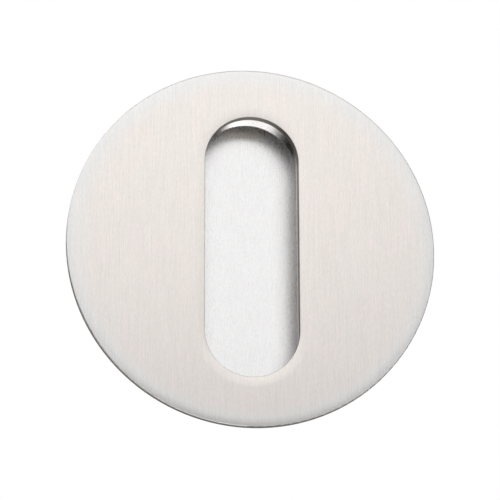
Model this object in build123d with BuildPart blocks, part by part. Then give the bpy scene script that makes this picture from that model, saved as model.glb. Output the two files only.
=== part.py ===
"""A round flush pull for a door: a slotted stainless plate with a shallow finger recess welded behind it.

Millimetres, +Z up. The face looks along -Y, the plate's seat on the door lies in the plane y = 0,
and the recess reaches into the door along +Y. The origin is the middle of that seat.
"""
import os
from math import degrees, radians, tan

from build123d import *

# Face plate
plate_diameter = 120.0
plate_thickness = 3.5
slot_width = 30.8
slot_length = 87.6

# Soft edges that polishing leaves: the face falls away in a shallow curve, then turns over a small round
rim_roll_width = 2.6
rim_roll_drop = 0.11
rim_edge_radius = 0.3
lip_roll_width = 3.2
lip_roll_drop = 0.22
lip_edge_radius = 0.2
seat_edge_chamfer = 1.3

# Finger recess: its depth behind the face, how far its floor reaches past the slot's edge, and the angle
# at which its wall leans outwards from the floor to the plate
recess_depth = 11.6
floor_setback = 0.85
wall_draft = 9.0
wall_thickness = 1.5
wall_edge_chamfer = 0.3
floor_thickness = 1.2
floor_edge_chamfer = 0.4

# Stitch welds along the wall, and the weld that closes the bent strip
bead_radius = 1.1
stitch_length = 9.0
seam_bead_radius = 0.8
seam_bead_end_gap = 0.5

# Rebate in the plate's back: it locates the wall and keeps the wall's welds off the seat
rebate_depth = 0.3
rebate_weld_clearance = 1.1

# Sizes that follow from the ones above
lip_thickness = plate_thickness - rebate_depth
wall_height = recess_depth - lip_thickness
straight_run = slot_length - slot_width
wall_lean = wall_height * tan(radians(wall_draft))
back_outer_width = slot_width + 2 * (floor_setback + wall_thickness)
foot_outer_width = back_outer_width + 2 * wall_lean
foot_inner_width = foot_outer_width - 2 * wall_thickness
rebate_width = foot_outer_width + 2 * (bead_radius + rebate_weld_clearance)
seam_bead_lean = seam_bead_end_gap * tan(radians(wall_draft))

# Planes parallel to the door, all seen from the front, with X to the right and Z up
seat_plane = Plane.XZ
wall_foot_plane = seat_plane.offset(rebate_depth)
floor_plane = wall_foot_plane.offset(-wall_height)


def soft_band(edge_x, body_side, roll_width, roll_drop, edge_radius):
    """Draw a section of the band of plate beside a soft edge at edge_x, as wide as the face's fall there."""
    face_end = (edge_x + body_side * roll_width, -plate_thickness)
    edge_top = (edge_x, roll_drop - plate_thickness)
    with BuildSketch(Plane.XY) as band:
        with BuildLine():
            TangentArc(face_end, edge_top, tangent=(-body_side, 0))
            Polyline(edge_top, (edge_x, 0), (face_end[0], 0), face_end)
        make_face()
        fillet(band.vertices().sort_by_distance(edge_top)[0], edge_radius)
    return band.sketch


def oblong(width):
    """Draw an upright oblong of that width whose straight sides are as long as the slot's."""
    return SlotOverall(straight_run + width, width, rotation=90)


def wall_block(foot_width, mode):
    """Fill the recess wall's lean form from a width at its foot on the plate to its back edge."""
    with BuildSketch(wall_foot_plane) as foot:
        oblong(foot_width)
    extrude(foot.sketch, amount=-wall_height, taper=wall_draft, mode=mode)


def weld_bead(seam, radius):
    """Lay a round bead of weld along a seam line."""
    with BuildSketch(Plane(seam @ 0, z_dir=seam % 0)) as bead_section:
        Circle(radius)
    sweep(bead_section.sketch, path=seam)


def stitch_welds(plane, wall_width):
    """Space stitches around the wall's outer side: one on each bend and two on each straight run."""
    half_angle = degrees(stitch_length / wall_width)
    for end in (-1, 1):
        bend_middle = end * straight_run / 2
        with BuildLine(plane) as bend_stitch:
            CenterArc((0, bend_middle), wall_width / 2, 90 * end - half_angle, 2 * half_angle)
        weld_bead(bend_stitch.line, bead_radius)
        stitch_start = end * straight_run / 4 - stitch_length / 2
        stitch_stop = stitch_start + stitch_length
        for side in (-wall_width / 2, wall_width / 2):
            with BuildLine(plane) as straight_stitch:
                Line((side, stitch_start), (side, stitch_stop))
            weld_bead(straight_stitch.line, bead_radius)


# Face plate: its flat middle, the soft rim round it, the soft lip round the slot, the rebate behind
with BuildPart() as face_plate:
    with BuildSketch(seat_plane):
        Circle(plate_diameter / 2 - rim_roll_width)
        SlotOverall(
            slot_length + 2 * lip_roll_width,
            slot_width + 2 * lip_roll_width,
            rotation=90,
            mode=Mode.SUBTRACT,
        )
    extrude(amount=plate_thickness)
    rim_band = soft_band(plate_diameter / 2, -1, rim_roll_width, rim_roll_drop, rim_edge_radius)
    revolve(rim_band, axis=Axis.Y)
    with BuildLine(seat_plane) as slot_edge:
        Line((slot_width / 2, 0), (slot_width / 2, straight_run / 2))
        CenterArc((0, straight_run / 2), slot_width / 2, 0, 180)
        Line((-slot_width / 2, straight_run / 2), (-slot_width / 2, -straight_run / 2))
        CenterArc((0, -straight_run / 2), slot_width / 2, 180, 180)
        Line((slot_width / 2, -straight_run / 2), (slot_width / 2, 0))
    lip_band = soft_band(slot_width / 2, 1, lip_roll_width, lip_roll_drop, lip_edge_radius)
    sweep(lip_band, path=slot_edge.wire())
    with BuildSketch(seat_plane):
        oblong(rebate_width)
    extrude(amount=rebate_depth, mode=Mode.SUBTRACT)
    chamfer(face_plate.faces().sort_by(Axis.Y)[-1].outer_wire().edges(), seat_edge_chamfer)
face_plate.part.label = "face_plate"

# Recess wall: a strip bent to the slot's form, standing in the rebate and leaning in towards the floor
with BuildPart() as recess_wall:
    wall_block(foot_outer_width, Mode.ADD)
    wall_block(foot_inner_width, Mode.SUBTRACT)
    wall_ends = recess_wall.faces().filter_by(Axis.Y)
    inner_edges = [edge for end in wall_ends for edge in end.inner_wires()[0].edges()]
    chamfer(inner_edges, wall_edge_chamfer)
recess_wall.part.label = "recess_wall"

# Recess floor: a flat sheet with the outline of the wall's back edge, laid on that edge
with BuildPart() as recess_floor:
    with BuildSketch(floor_plane):
        oblong(back_outer_width)
    extrude(amount=-floor_thickness)
    chamfer(recess_floor.faces().sort_by(Axis.Y)[-1].edges(), floor_edge_chamfer)
recess_floor.part.label = "recess_floor"

# Front welds: fillet stitches in the corner between the wall and the rebate
with BuildPart() as front_weld_beads:
    stitch_welds(wall_foot_plane, foot_outer_width)
    split(bisect_by=wall_foot_plane, keep=Keep.BOTTOM)
    wall_block(foot_outer_width, Mode.SUBTRACT)
front_weld_beads.part.label = "front_weld_beads"

# Rear welds: stitches over the outside corner between the wall and the floor sheet
with BuildPart() as rear_weld_beads:
    stitch_welds(floor_plane, back_outer_width)
    wall_block(foot_outer_width, Mode.SUBTRACT)
    with BuildSketch(floor_plane):
        oblong(back_outer_width)
    extrude(amount=-wall_height, mode=Mode.SUBTRACT)
rear_weld_beads.part.label = "rear_weld_beads"

# Strip seam weld: closes the bent strip on the outer side of one straight run
with BuildPart() as strip_seam_weld:
    with BuildLine(Plane.XY) as seam:
        Line(
            (seam_bead_lean - foot_outer_width / 2, seam_bead_end_gap - rebate_depth),
            (-seam_bead_lean - back_outer_width / 2, wall_height - rebate_depth - seam_bead_end_gap),
        )
    weld_bead(seam.line, seam_bead_radius)
    wall_block(foot_outer_width, Mode.SUBTRACT)
strip_seam_weld.part.label = "strip_seam_weld"

os.makedirs("parts", exist_ok=True)
for piece in (
    face_plate,
    recess_wall,
    recess_floor,
    front_weld_beads,
    rear_weld_beads,
    strip_seam_weld,
):
    export_step(piece.part, f"parts/{piece.part.label}.step")
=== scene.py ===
"""A round flush pull for a door, dressed for a product picture.

Metres, +Z up along the slot. The face looks along -Y, and the recess reaches into the door along +Y.
"""
import random
from math import cos, pi, radians, sin

import bpy
from mathutils import Matrix, Vector


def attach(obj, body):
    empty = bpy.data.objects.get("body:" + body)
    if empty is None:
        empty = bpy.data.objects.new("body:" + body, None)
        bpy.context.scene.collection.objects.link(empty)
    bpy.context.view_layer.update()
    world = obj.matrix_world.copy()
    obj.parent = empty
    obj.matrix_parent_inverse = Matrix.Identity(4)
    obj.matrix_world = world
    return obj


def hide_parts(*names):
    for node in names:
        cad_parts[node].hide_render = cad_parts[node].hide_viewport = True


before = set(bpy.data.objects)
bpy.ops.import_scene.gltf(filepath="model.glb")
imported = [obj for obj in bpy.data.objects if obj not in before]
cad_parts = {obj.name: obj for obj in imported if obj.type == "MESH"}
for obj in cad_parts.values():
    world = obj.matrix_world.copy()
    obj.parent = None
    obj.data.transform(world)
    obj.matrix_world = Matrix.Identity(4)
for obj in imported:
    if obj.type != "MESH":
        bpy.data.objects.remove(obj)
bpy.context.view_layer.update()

# Face plate: a round blank of 3.5 mm stainless sheet with the finger slot cut through it. Its face is brushed
# up and down with a belt, its rim and slot are eased on a soft wheel, and its back keeps the mill's dull skin.
face_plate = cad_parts["face_plate"]


def linear(hex_colour):
    """Turn an sRGB hex colour into the linear values that the shader takes."""
    channels = [int(hex_colour[i:i + 2], 16) / 255 for i in (1, 3, 5)]
    return [c / 12.92 if c <= 0.04045 else ((c + 0.055) / 1.055) ** 2.4 for c in channels] + [1.0]


def add_node(tree, kind, inputs, **settings):
    """Add a node with its settings, and set or link each of its inputs."""
    node = tree.nodes.new("ShaderNode" + kind)
    for name, value in settings.items():
        setattr(node, name, value)
    for socket, value in inputs.items():
        if isinstance(value, bpy.types.NodeSocket):
            tree.links.new(value, node.inputs[socket])
        else:
            node.inputs[socket].default_value = value
    return node


def start_material(name):
    """Start a material with an empty node tree, and return both."""
    material = bpy.data.materials.new(name)
    material.use_nodes = True
    material.node_tree.nodes.clear()
    return material, material.node_tree


def give_finish(piece, material):
    """Give a piece its one finish."""
    piece.data.materials.clear()
    piece.data.materials.append(material)


def spread_tints(ramp, tints):
    """Lay tints along a colour ramp, which starts with two stops, each tint with its position."""
    stops = ramp.color_ramp.elements
    first, *between, last = tints
    stops[0].position, stops[0].color = first[0], linear(first[1])
    stops[1].position, stops[1].color = last[0], linear(last[1])
    for position, tint in between:
        stops.new(position).color = linear(tint)


def brushing(tree, place, width, length):
    """Draw marks of that width and length that run up and down, as noise around 0.5."""
    stretched = add_node(
        tree, "Mapping",
        {"Vector": place.outputs["Object"], "Scale": (1 / width, 1 / width, 1 / length)},
    )
    noise = add_node(
        tree, "TexNoise",
        {"Vector": stretched.outputs[0], "Scale": 1.0, "Detail": 2.0, "Roughness": 0.6},
    )
    return noise.outputs["Fac"]


# The stitch welds behind: half the length of one, the height of those on the straight runs, the middle of
# the bends, and for each row how far it lies from the slot's middle line and how deep
stitch_half = 0.0045
straight_stitch_height = 0.0142
bend_middle = 0.0284
front_row = (0.01908, -0.0003)
rear_row = (0.01775, 0.0081)

# The heat tint round a stitch: how far it reaches, how far its edge wanders, and over what length
tint_reach = 0.005
tint_wander = 0.0012
tint_wander_length = 0.003

# Where a Mix node takes two colours or two values, and where it gives a colour
colour_a, colour_b, value_a, value_b, mixed_colour = 6, 7, 2, 3, 2


def heat_tint(tree, place, colour, half_width, depth, where):
    """Tint a steel colour round one row of stitches, from blue near the bead to straw, where the mask is 1."""
    from_row = add_node(
        tree, "VectorMath", {0: place.outputs["Object"], 1: (0.0, depth, 0.0)}, operation="SUBTRACT",
    )
    corner = add_node(tree, "VectorMath", {0: from_row.outputs[0]}, operation="ABSOLUTE")
    distances = []
    for middle, reach in (
        ((half_width, 0.0, straight_stitch_height), (0.0, 0.0, stitch_half)),
        ((0.0, 0.0, bend_middle + half_width), (stitch_half, 0.0, 0.0)),
    ):
        from_middle = add_node(tree, "VectorMath", {0: corner.outputs[0], 1: middle}, operation="SUBTRACT")
        one_side = add_node(tree, "VectorMath", {0: from_middle.outputs[0]}, operation="ABSOLUTE")
        past_end = add_node(tree, "VectorMath", {0: one_side.outputs[0], 1: reach}, operation="SUBTRACT")
        outside = add_node(
            tree, "VectorMath", {0: past_end.outputs[0], 1: (0.0, 0.0, 0.0)}, operation="MAXIMUM",
        )
        distance = add_node(tree, "VectorMath", {0: outside.outputs[0]}, operation="LENGTH")
        distances.append(distance.outputs["Value"])
    nearest = add_node(tree, "Math", {0: distances[0], 1: distances[1]}, operation="MINIMUM")
    uneven = add_node(
        tree, "TexNoise", {"Vector": place.outputs["Object"], "Scale": 1 / tint_wander_length, "Detail": 1.0},
    )
    wander = add_node(
        tree, "MapRange", {"Value": uneven.outputs["Fac"], "To Min": -tint_wander, "To Max": tint_wander},
    )
    spread = add_node(tree, "Math", {0: nearest.outputs[0], 1: wander.outputs[0]}, operation="ADD")
    along_ramp = add_node(
        tree, "MapRange", {"Value": spread.outputs[0], "From Min": 0.0, "From Max": tint_reach},
    )
    ramp = add_node(tree, "ValToRGB", {"Fac": along_ramp.outputs[0]})
    spread_tints(
        ramp,
        (
            (0.15, "#E0E0E3"),
            (0.27, "#DBE0EA"),
            (0.38, "#E8DFE2"),
            (0.50, "#F4EAD8"),
            (0.72, "#FCF9F1"),
            (1.0, "#FFFFFF"),
        ),
    )
    tinted = add_node(
        tree, "Mix", {0: where, colour_a: colour, colour_b: ramp.outputs["Color"]},
        data_type="RGBA", blend_type="MULTIPLY",
    )
    return tinted.outputs[mixed_colour]


# Satin stainless steel, belt brushed: fine vertical scratches, a broad sheen across them and a faint drift
# between warm and cool. Real scratches are about 0.05 mm wide, drawn three times as wide so that they show.
# Below are the width and length of the short scratches, the long streaks and the patches of drift.
scratch_size = (0.00015, 0.0012)
streak_size = (0.00018, 0.010)
drift_size = (0.005, 0.014)
scratch_depth = 0.00001
rim_start, rim_end = 0.053, 0.058
mill_cloud_size = 0.009
face_finish, tree = start_material("satin_stainless_belt_brushed")
place = add_node(tree, "TexCoord", {})
scratches = brushing(tree, place, *scratch_size)
streaks = brushing(tree, place, *streak_size)
drift = brushing(tree, place, *drift_size)
drift_share = add_node(tree, "MapRange", {"Value": drift, "From Min": 0.35, "From Max": 0.65})
tone = add_node(
    tree, "Mix", {0: drift_share.outputs[0], colour_a: linear("#E8E1DD"), colour_b: linear("#E7E2DD")},
    data_type="RGBA",
)
# The wheel leaves a cooler grey along the rim
from_axis = add_node(
    tree, "VectorMath", {0: place.outputs["Object"], 1: (1.0, 0.0, 1.0)}, operation="MULTIPLY",
)
radius = add_node(tree, "VectorMath", {0: from_axis.outputs[0]}, operation="LENGTH")
rim_share = add_node(
    tree, "MapRange",
    {"Value": radius.outputs["Value"], "From Min": rim_start, "From Max": rim_end, "To Max": 0.8},
)
rim_tone = add_node(
    tree, "Mix",
    {0: rim_share.outputs[0], colour_a: tone.outputs[mixed_colour], colour_b: linear("#E4E4E3")},
    data_type="RGBA",
)
scratch_shade = add_node(
    tree, "MapRange",
    {"Value": scratches, "From Min": 0.25, "From Max": 0.75, "To Min": 0.91, "To Max": 1.09},
)
streak_shade = add_node(
    tree, "MapRange",
    {"Value": streaks, "From Min": 0.3, "From Max": 0.7, "To Min": 0.945, "To Max": 1.055},
)
shade = add_node(
    tree, "Math", {0: scratch_shade.outputs[0], 1: streak_shade.outputs[0]}, operation="MULTIPLY",
)
brushed_colour = add_node(
    tree, "VectorMath", {0: rim_tone.outputs[mixed_colour], 1: shade.outputs[0]}, operation="MULTIPLY",
)
brushed_roughness = add_node(
    tree, "MapRange",
    {"Value": scratches, "From Min": 0.25, "From Max": 0.75, "To Min": 0.39, "To Max": 0.45},
)
# Cut edges, which face sideways, are darker than the face, and darkest round the rim: partly their duller cut
# surface, and partly painted shade that draws the dark outline of the rim and the slot
facing = add_node(tree, "SeparateXYZ", {0: place.outputs["Normal"]})
squareness = add_node(tree, "Math", {0: facing.outputs["Y"]}, operation="ABSOLUTE")
cut_edge = add_node(tree, "MapRange", {"Value": squareness.outputs[0], "From Min": 0.8, "From Max": 0.3})
on_rim = add_node(tree, "Math", {0: radius.outputs["Value"], 1: rim_end}, operation="GREATER_THAN")
# Painted shade on the cut edges: a dark grey, and a darker one round the rim
edge_painted_shade = add_node(
    tree, "Mix", {0: on_rim.outputs[0], colour_a: linear("#8F8A85"), colour_b: linear("#6C6864")},
    data_type="RGBA",
)
colour_with_painted_edge_shade = add_node(
    tree, "Mix",
    {
        0: cut_edge.outputs[0],
        colour_a: brushed_colour.outputs[0],
        colour_b: edge_painted_shade.outputs[mixed_colour],
    },
    data_type="RGBA",
)
edged_roughness = add_node(
    tree, "Mix", {0: cut_edge.outputs[0], value_a: brushed_roughness.outputs[0], value_b: 0.45},
)
# The back has a smooth grey mill skin with faint clouds, tinted where the stitches heated it
back = add_node(tree, "MapRange", {"Value": facing.outputs["Y"], "From Min": 0.5, "From Max": 0.8})
clouds = add_node(
    tree, "TexNoise", {"Vector": place.outputs["Object"], "Scale": 1 / mill_cloud_size, "Detail": 4.0},
)
mill_colour = add_node(
    tree, "Mix", {0: clouds.outputs["Fac"], colour_a: linear("#C6C4C1"), colour_b: linear("#D6D4D1")},
    data_type="RGBA",
)
backed_colour = add_node(
    tree, "Mix",
    {
        0: back.outputs[0],
        colour_a: colour_with_painted_edge_shade.outputs[mixed_colour],
        colour_b: mill_colour.outputs[mixed_colour],
    },
    data_type="RGBA",
)
plate_colour = heat_tint(tree, place, backed_colour.outputs[mixed_colour], *front_row, back.outputs[0])
mill_roughness = add_node(tree, "MapRange", {"Value": clouds.outputs["Fac"], "To Min": 0.30, "To Max": 0.42})
plate_roughness = add_node(
    tree, "Mix",
    {0: back.outputs[0], value_a: edged_roughness.outputs[0], value_b: mill_roughness.outputs[0]},
)
# Light spreads across the scratches: sideways on the face, and through the thickness on the cut edges
on_edge = add_node(tree, "Math", {0: cut_edge.outputs[0], 1: 0.5}, operation="GREATER_THAN")
on_face = add_node(tree, "Math", {0: 1.0, 1: on_edge.outputs[0]}, operation="SUBTRACT")
across_scratches = add_node(tree, "CombineXYZ", {"X": on_face.outputs[0], "Y": on_edge.outputs[0]})
relief = add_node(tree, "Bump", {"Height": scratches, "Strength": 0.15, "Distance": scratch_depth})
steel = add_node(
    tree, "BsdfPrincipled",
    {
        "Base Color": plate_colour,
        "Metallic": 1.0,
        "Roughness": plate_roughness.outputs[0],
        "Anisotropic": 0.63,
        "Tangent": across_scratches.outputs[0],
        "Normal": relief.outputs[0],
    },
)
add_node(tree, "OutputMaterial", {"Surface": steel.outputs[0]})
give_finish(face_plate, face_finish)

# Recess wall: stainless strip bent round the slot and welded shut, standing on the plate's back with a slight
# lean. It keeps the smooth skin of cold-rolled strip, with fine rolling lines along its length.
recess_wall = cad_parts["recess_wall"]
rolling_line_width, rolling_line_length = 0.0005, 0.012
outer_side_reach = 0.009

# Cold-rolled stainless strip: almost a mirror, with a faint blur along the rolling lines. Real lines are
# finer than a tenth of a millimetre, drawn at half a millimetre so that they show.
wall_finish, tree = start_material("cold_rolled_stainless_strip")
place = add_node(tree, "TexCoord", {})
line_place = add_node(
    tree, "Mapping",
    {
        "Vector": place.outputs["Object"],
        "Scale": (1 / rolling_line_length, 1 / rolling_line_width, 1 / rolling_line_length),
    },
)
rolling_lines = add_node(tree, "TexNoise", {"Vector": line_place.outputs[0], "Scale": 1.0, "Detail": 2.0})
strip_colour = add_node(
    tree, "Mix",
    {0: rolling_lines.outputs["Fac"], colour_a: linear("#D9D7D5"), colour_b: linear("#E7E6E5")},
    data_type="RGBA",
)
strip_roughness = add_node(
    tree, "MapRange", {"Value": rolling_lines.outputs["Fac"], "To Min": 0.05, "To Max": 0.10},
)
# Only the outer side, which faces away from the middle of the slot, shows the stitches' heat
outwards = add_node(
    tree, "VectorMath", {0: place.outputs["Normal"], 1: place.outputs["Object"]}, operation="DOT_PRODUCT",
)
outer_side = add_node(
    tree, "Math", {0: outwards.outputs["Value"], 1: outer_side_reach}, operation="GREATER_THAN",
)
tinted_colour = heat_tint(
    tree, place, strip_colour.outputs[mixed_colour], *front_row, outer_side.outputs[0],
)
tinted_colour = heat_tint(tree, place, tinted_colour, *rear_row, outer_side.outputs[0])
steel = add_node(
    tree, "BsdfPrincipled",
    {"Base Color": tinted_colour, "Metallic": 1.0, "Roughness": strip_roughness.outputs[0]},
)
add_node(tree, "OutputMaterial", {"Surface": steel.outputs[0]})
give_finish(recess_wall, wall_finish)

# Recess floor: a flat piece of pre-brushed stainless sheet, 1.2 mm thick, cut to the wall's outline. It is
# laid on the wall's back edge with its brushing along the slot, and stitched to the wall from outside.
recess_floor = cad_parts["recess_floor"]
sheet_scratch_size = (0.00016, 0.0012)
sheet_streak_size = (0.00018, 0.008)
streak_part = 0.4

# Satin stainless sheet: cooler than the face and with a tighter sheen, in the same fine vertical grain, which
# is drawn three times as wide as real scratches so that it shows
floor_finish, tree = start_material("satin_stainless_sheet")
place = add_node(tree, "TexCoord", {})
scratches = brushing(tree, place, *sheet_scratch_size)
streaks = brushing(tree, place, *sheet_streak_size)
grain = add_node(tree, "Mix", {0: streak_part, value_a: scratches, value_b: streaks})
grain_share = add_node(tree, "MapRange", {"Value": grain.outputs[0], "From Min": 0.3, "From Max": 0.7})
sheet_tone = add_node(
    tree, "Mix", {0: grain_share.outputs[0], colour_a: linear("#CBCACA"), colour_b: linear("#E4E3E3")},
    data_type="RGBA",
)
sheet_roughness = add_node(tree, "MapRange", {"Value": scratches, "To Min": 0.25, "To Max": 0.31})
# All but its front shows the stitches' heat
facing = add_node(tree, "SeparateXYZ", {0: place.outputs["Normal"]})
behind = add_node(tree, "Math", {0: facing.outputs["Y"], 1: -0.5}, operation="GREATER_THAN")
tinted_colour = heat_tint(tree, place, sheet_tone.outputs[mixed_colour], *rear_row, behind.outputs[0])
# Light spreads across the scratches, as on the plate
squareness = add_node(tree, "Math", {0: facing.outputs["Y"]}, operation="ABSOLUTE")
on_edge = add_node(tree, "Math", {0: squareness.outputs[0], 1: 0.5}, operation="LESS_THAN")
on_face = add_node(tree, "Math", {0: 1.0, 1: on_edge.outputs[0]}, operation="SUBTRACT")
across_scratches = add_node(tree, "CombineXYZ", {"X": on_face.outputs[0], "Y": on_edge.outputs[0]})
relief = add_node(tree, "Bump", {"Height": scratches, "Strength": 0.15, "Distance": scratch_depth})
steel = add_node(
    tree, "BsdfPrincipled",
    {
        "Base Color": tinted_colour,
        "Metallic": 1.0,
        "Roughness": sheet_roughness.outputs[0],
        "Anisotropic": 0.75,
        "Tangent": across_scratches.outputs[0],
        "Normal": relief.outputs[0],
    },
)
add_node(tree, "OutputMaterial", {"Surface": steel.outputs[0]})
give_finish(recess_floor, floor_finish)

# Front welds: six short fillet stitches in the corner between the wall and the plate's back, laid by hand
# with a TIG torch. Each is a row of small puddles that froze one on the other.
bead_radius = 0.0011
puddle_pitch = 0.0007
puddle_flatness = 0.62
puddle_tilt = 22.0
smallest_puddle = 0.93
skin_fineness = 0.00014
oxide_patch_size = 0.0016
pit_size, pit_depth = 0.0002, 0.00003
hand = random.Random(7)


def lay_bead(seam, radius):
    """Lay a bead along a seam, given as points with the seam's direction and the way out of its corner."""
    bpy.ops.object.select_all(action="DESELECT")
    bpy.ops.mesh.primitive_uv_sphere_add(segments=20, ring_count=12, radius=radius)
    puddle = bpy.context.object
    bpy.ops.object.mode_set(mode="EDIT")
    bpy.ops.transform.resize(value=(1.0, 1.0, puddle_flatness))
    bpy.ops.transform.rotate(value=radians(puddle_tilt), orient_axis="X", center_override=(0.0, 0.0, 0.0))
    bpy.ops.object.mode_set(mode="OBJECT")
    puddles = []
    for point, along, outwards in seam:
        copy = puddle.copy()
        copy.data = puddle.data.copy()
        bpy.context.scene.collection.objects.link(copy)
        turned = Matrix((outwards.cross(along), outwards, along)).transposed().to_4x4()
        sized = Matrix.Scale(hand.uniform(smallest_puddle, 1.0), 4)
        copy.matrix_world = Matrix.Translation(point) @ turned @ sized
        puddles.append(copy)
    bpy.data.objects.remove(puddle)
    return puddles


def lay_stitches(half_width, depth, lift):
    """Lay a row of stitches round the wall: two on each straight run and one on each bend."""
    puddles = []
    count = round(2 * stitch_half / puddle_pitch) - 1
    steps = [puddle_pitch * (i - (count - 1) / 2) for i in range(count)]
    for end in (-1, 1):
        for side in (-1, 1):
            outwards = Vector((side, lift, 0.0)).normalized()
            run = []
            for step in steps:
                point = Vector((side * half_width, depth, end * straight_stitch_height + step))
                run.append((point, Vector((0.0, 0.0, 1.0)), outwards))
            puddles += lay_bead(run, bead_radius)
        bend = []
        for step in steps:
            angle = step / half_width
            radial = Vector((sin(angle), 0.0, end * cos(angle)))
            along = Vector((cos(angle), 0.0, -end * sin(angle)))
            point = Vector((0.0, depth, end * bend_middle)) + half_width * radial
            bend.append((point, along, (radial + Vector((0.0, lift, 0.0))).normalized()))
        puddles += lay_bead(bend, bead_radius)
    return puddles


def fuse_puddles(puddles, name):
    """Fuse puddles into one skin of weld metal, and let the torch round it off."""
    bpy.ops.object.select_all(action="DESELECT")
    for puddle in puddles:
        puddle.select_set(True)
    bpy.context.view_layer.objects.active = puddles[0]
    bpy.ops.object.join()
    weld = bpy.context.object
    weld.name = name
    weld.data.name = name
    bpy.ops.object.transform_apply(location=True, rotation=True, scale=True)
    skin = weld.modifiers.new("skin", "REMESH")
    skin.mode = "VOXEL"
    skin.voxel_size = skin_fineness
    bpy.ops.object.modifier_apply(modifier="skin")
    flow = weld.modifiers.new("flow", "SMOOTH")
    flow.factor, flow.iterations = 0.5, 2
    bpy.ops.object.modifier_apply(modifier="flow")
    bpy.ops.object.shade_smooth()
    return weld


# Stainless weld metal as laid: dull silver, with straw and blue patches where the air reached it hot
weld_finish, tree = start_material("stainless_weld_metal")
place = add_node(tree, "TexCoord", {})
oxide = add_node(
    tree, "TexNoise", {"Vector": place.outputs["Object"], "Scale": 1 / oxide_patch_size, "Detail": 2.0},
)
oxide_ramp = add_node(tree, "ValToRGB", {"Fac": oxide.outputs["Fac"]})
spread_tints(oxide_ramp, ((0.30, "#B9BBC0"), (0.46, "#C9C7C4"), (0.60, "#CDBFA6"), (0.72, "#C4AC86")))
pits = add_node(
    tree, "TexNoise", {"Vector": place.outputs["Object"], "Scale": 1 / pit_size, "Detail": 2.0},
)
weld_roughness = add_node(tree, "MapRange", {"Value": oxide.outputs["Fac"], "To Min": 0.26, "To Max": 0.46})
weld_relief = add_node(tree, "Bump", {"Height": pits.outputs["Fac"], "Strength": 0.3, "Distance": pit_depth})
steel = add_node(
    tree, "BsdfPrincipled",
    {
        "Base Color": oxide_ramp.outputs["Color"],
        "Metallic": 1.0,
        "Roughness": weld_roughness.outputs[0],
        "Normal": weld_relief.outputs[0],
    },
)
add_node(tree, "OutputMaterial", {"Surface": steel.outputs[0]})
front_welds = fuse_puddles(lay_stitches(*front_row, lift=1.0), "front_weld_stitches")
give_finish(front_welds, weld_finish)
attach(front_welds, "root")
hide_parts("front_weld_beads")

# Rear welds: six stitches of the same weld metal, laid in the same way. They go over the outside corner where
# the floor sheet lies on the wall's back edge, so their puddles face straight out from the wall.
rear_welds = fuse_puddles(lay_stitches(*rear_row, lift=0.0), "rear_weld_stitches")
give_finish(rear_welds, weld_finish)
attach(rear_welds, "root")
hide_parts("rear_weld_beads")

# Strip seam: a thinner bead of the same weld metal, laid before the strip goes on the plate. It closes the
# strip's two ends, down the outside of the left run from the plate to the floor sheet.
seam_radius = 0.0008
seam_pitch = 0.00055
seam_end_room = 0.6 * seam_radius
seam_start = Vector((-0.0190, 0.0002 + seam_end_room, 0.0))
seam_stop = Vector((-0.01783, 0.0076 - seam_end_room, 0.0))
seam_count = round((seam_stop - seam_start).length / seam_pitch)
seam_along = (seam_stop - seam_start).normalized()
seam_outwards = Vector((0.0, 0.0, 1.0)).cross(seam_along)
seam_places = [
    (seam_start.lerp(seam_stop, i / (seam_count - 1)), seam_along, seam_outwards)
    for i in range(seam_count)
]
strip_seam = fuse_puddles(lay_bead(seam_places, seam_radius), "strip_seam_bead")
give_finish(strip_seam, weld_finish)
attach(strip_seam, "root")
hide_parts("strip_seam_weld")

# Studio floor and backdrop: matt white card, well below the pull and well behind it. The backdrop shows as
# pure white, and the floor as a pale grey that darkens a little as it runs out.
floor_radius, floor_height = 8.0, -0.8
backdrop_size, backdrop_place = 4.0, (0.0, 1.7, 1.2)
fade_start, fade_end = 1.7, 3.2
bpy.ops.object.select_all(action="DESELECT")
bpy.ops.mesh.primitive_circle_add(
    vertices=96, radius=floor_radius, fill_type="NGON", location=(0.0, 0.0, floor_height),
)
studio_floor = bpy.context.object
studio_floor.name = "studio_floor"
bpy.ops.object.select_all(action="DESELECT")
bpy.ops.mesh.primitive_plane_add(
    size=backdrop_size, location=backdrop_place, rotation=(radians(90.0), 0.0, 0.0),
)
backdrop = bpy.context.object
backdrop.name = "studio_backdrop"


def white_card(name, shown_near, shown_far):
    """Make white card that glows by a share for the eye and in metal, near its middle and far from it."""
    card_material, tree = start_material(name)
    card = add_node(tree, "BsdfDiffuse", {"Color": linear("#E6E5E3")})
    glow = add_node(tree, "Emission", {"Color": linear("#FFFFFF"), "Strength": 1.0})
    place = add_node(tree, "TexCoord", {})
    away = add_node(tree, "VectorMath", {0: place.outputs["Object"]}, operation="LENGTH")
    shown = add_node(
        tree, "MapRange",
        {
            "Value": away.outputs["Value"],
            "From Min": fade_start,
            "From Max": fade_end,
            "To Min": shown_near,
            "To Max": shown_far,
        },
    )
    ray = add_node(tree, "LightPath", {})
    seen = add_node(
        tree, "Math", {0: ray.outputs["Is Camera Ray"], 1: ray.outputs["Is Glossy Ray"]}, operation="MAXIMUM",
    )
    seen = add_node(
        tree, "Math", {0: seen.outputs[0], 1: ray.outputs["Is Transmission Ray"]}, operation="MAXIMUM",
    )
    share = add_node(tree, "Math", {0: seen.outputs[0], 1: shown.outputs[0]}, operation="MULTIPLY")
    surface = add_node(tree, "MixShader", {0: share.outputs[0], 1: card.outputs[0], 2: glow.outputs[0]})
    add_node(tree, "OutputMaterial", {"Surface": surface.outputs[0]})
    return card_material


give_finish(studio_floor, white_card("white_floor_card", 0.45, 0.25))
give_finish(backdrop, white_card("white_backdrop_card", 1.0, 1.0))

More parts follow.
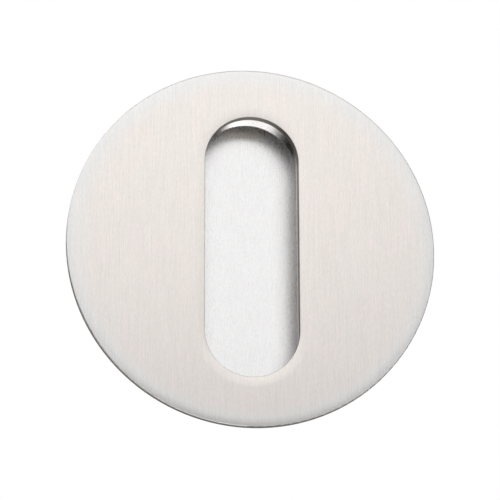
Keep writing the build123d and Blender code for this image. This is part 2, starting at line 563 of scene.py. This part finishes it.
# Black curtain: a strip of velvet hung behind the camera, between the softboxes, so that the steel mirrors
# the dark there and keeps its shadows. Like the softboxes it stays out of the picture itself.
curtain_width, curtain_height = 3.4, 0.6
curtain_place = (0.0, -0.95, -0.16)
pile_patch = 0.02
bpy.ops.object.select_all(action="DESELECT")
bpy.ops.mesh.primitive_plane_add(size=1.0, location=curtain_place, rotation=(radians(90.0), 0.0, 0.0))
curtain = bpy.context.object
curtain.name = "studio_curtain"
curtain.scale = (curtain_width, curtain_height, 1.0)
curtain.visible_camera = False

# Velvet: almost no light comes back, a little more where the pile is brushed over
velvet, tree = start_material("black_velvet")
place = add_node(tree, "TexCoord", {})
pile = add_node(
    tree, "TexNoise", {"Vector": place.outputs["Object"], "Scale": 1 / pile_patch, "Detail": 2.0},
)
pile_colour = add_node(
    tree, "Mix", {0: pile.outputs["Fac"], colour_a: linear("#0B0B0C"), colour_b: linear("#161617")},
    data_type="RGBA",
)
cloth = add_node(tree, "BsdfDiffuse", {"Color": pile_colour.outputs[mixed_colour], "Roughness": 1.0})
add_node(tree, "OutputMaterial", {"Surface": cloth.outputs[0]})
give_finish(curtain, velvet)

# Studio light: a large softbox above the camera, a narrow strip below it that lights the far end of the
# recess, and a fill far to the left. The room is dark in front of the pull, and pale beside and behind it.
face_middle = Vector((0.0, -0.0035, 0.0))


def from_face(azimuth, elevation, distance):
    """Give the point at a direction from the face: azimuth to its right, elevation above, in degrees."""
    a, e = radians(azimuth), radians(elevation)
    return face_middle + distance * Vector((sin(a) * cos(e), -cos(a) * cos(e), sin(e)))


def aim_at_face(thing, roll):
    """Turn a lamp or camera to the middle of the face, and roll it by an angle in degrees."""
    aim = (face_middle - thing.location).to_track_quat("-Z", "Y").to_matrix().to_4x4()
    thing.rotation_euler = (aim @ Matrix.Rotation(radians(roll), 4, "Z")).to_euler()


def softbox(name, azimuth, elevation, distance, roll, width, height, radiance):
    """Set up a softbox at a direction from the face; a lamp's power follows from its size and radiance."""
    lamp = bpy.data.lights.new(name, "AREA")
    lamp.shape = "RECTANGLE"
    lamp.size, lamp.size_y = width, height
    lamp.energy = radiance * pi * width * height
    box = bpy.data.objects.new(name, lamp)
    box.location = from_face(azimuth, elevation, distance)
    aim_at_face(box, roll)
    box.visible_camera = False
    bpy.context.scene.collection.objects.link(box)


softbox(
    "key_softbox", azimuth=5.0, elevation=27.4, distance=0.75, roll=-10.0,
    width=0.82, height=0.70, radiance=1.45,
)
softbox(
    "low_softbox", azimuth=20.5, elevation=-28.6, distance=0.8, roll=16.0,
    width=1.25, height=0.20, radiance=2.4,
)
softbox(
    "fill_softbox", azimuth=-70.0, elevation=38.0, distance=1.0, roll=0.0,
    width=0.81, height=0.85, radiance=1.5,
)
room = bpy.data.worlds.new("studio_room")
bpy.context.scene.world = room
room.use_nodes = True
tree = room.node_tree
direction = add_node(tree, "TexCoord", {})
dark_point = from_face(azimuth=-5.0, elevation=0.0, distance=1.0)
towards_dark = (dark_point - face_middle).normalized()
nearness = add_node(
    tree, "VectorMath", {0: direction.outputs["Generated"], 1: towards_dark}, operation="DOT_PRODUCT",
)
room_light = add_node(
    tree, "MapRange",
    {"Value": nearness.outputs["Value"], "From Min": 0.1, "From Max": 0.6, "To Min": 0.4, "To Max": 0.003},
)
tree.links.new(room_light.outputs[0], tree.nodes["Background"].inputs["Strength"])
tree.nodes["Background"].inputs["Color"].default_value = linear("#FFFFFF")

# Camera: a long lens a little below the pull and to its left, aimed at the middle of the face. Its frame is
# shifted so that this middle falls on its pixel in the picture.
image_size = 500
focal_pixels = 2230.0
face_pixel = (252.35, 244.45)
long_lens = bpy.data.cameras.new("camera")
long_lens.sensor_width = 36.0
long_lens.lens = focal_pixels / image_size * long_lens.sensor_width
long_lens.shift_x = -(face_pixel[0] - image_size / 2) / image_size
long_lens.shift_y = (face_pixel[1] - image_size / 2) / image_size
camera = bpy.data.objects.new("camera", long_lens)
camera.location = from_face(azimuth=-8.131, elevation=-16.758, distance=0.72)
aim_at_face(camera, roll=-0.196)
bpy.context.scene.collection.objects.link(camera)
bpy.context.scene.camera = camera
bpy.context.scene.view_settings.view_transform = "Standard"
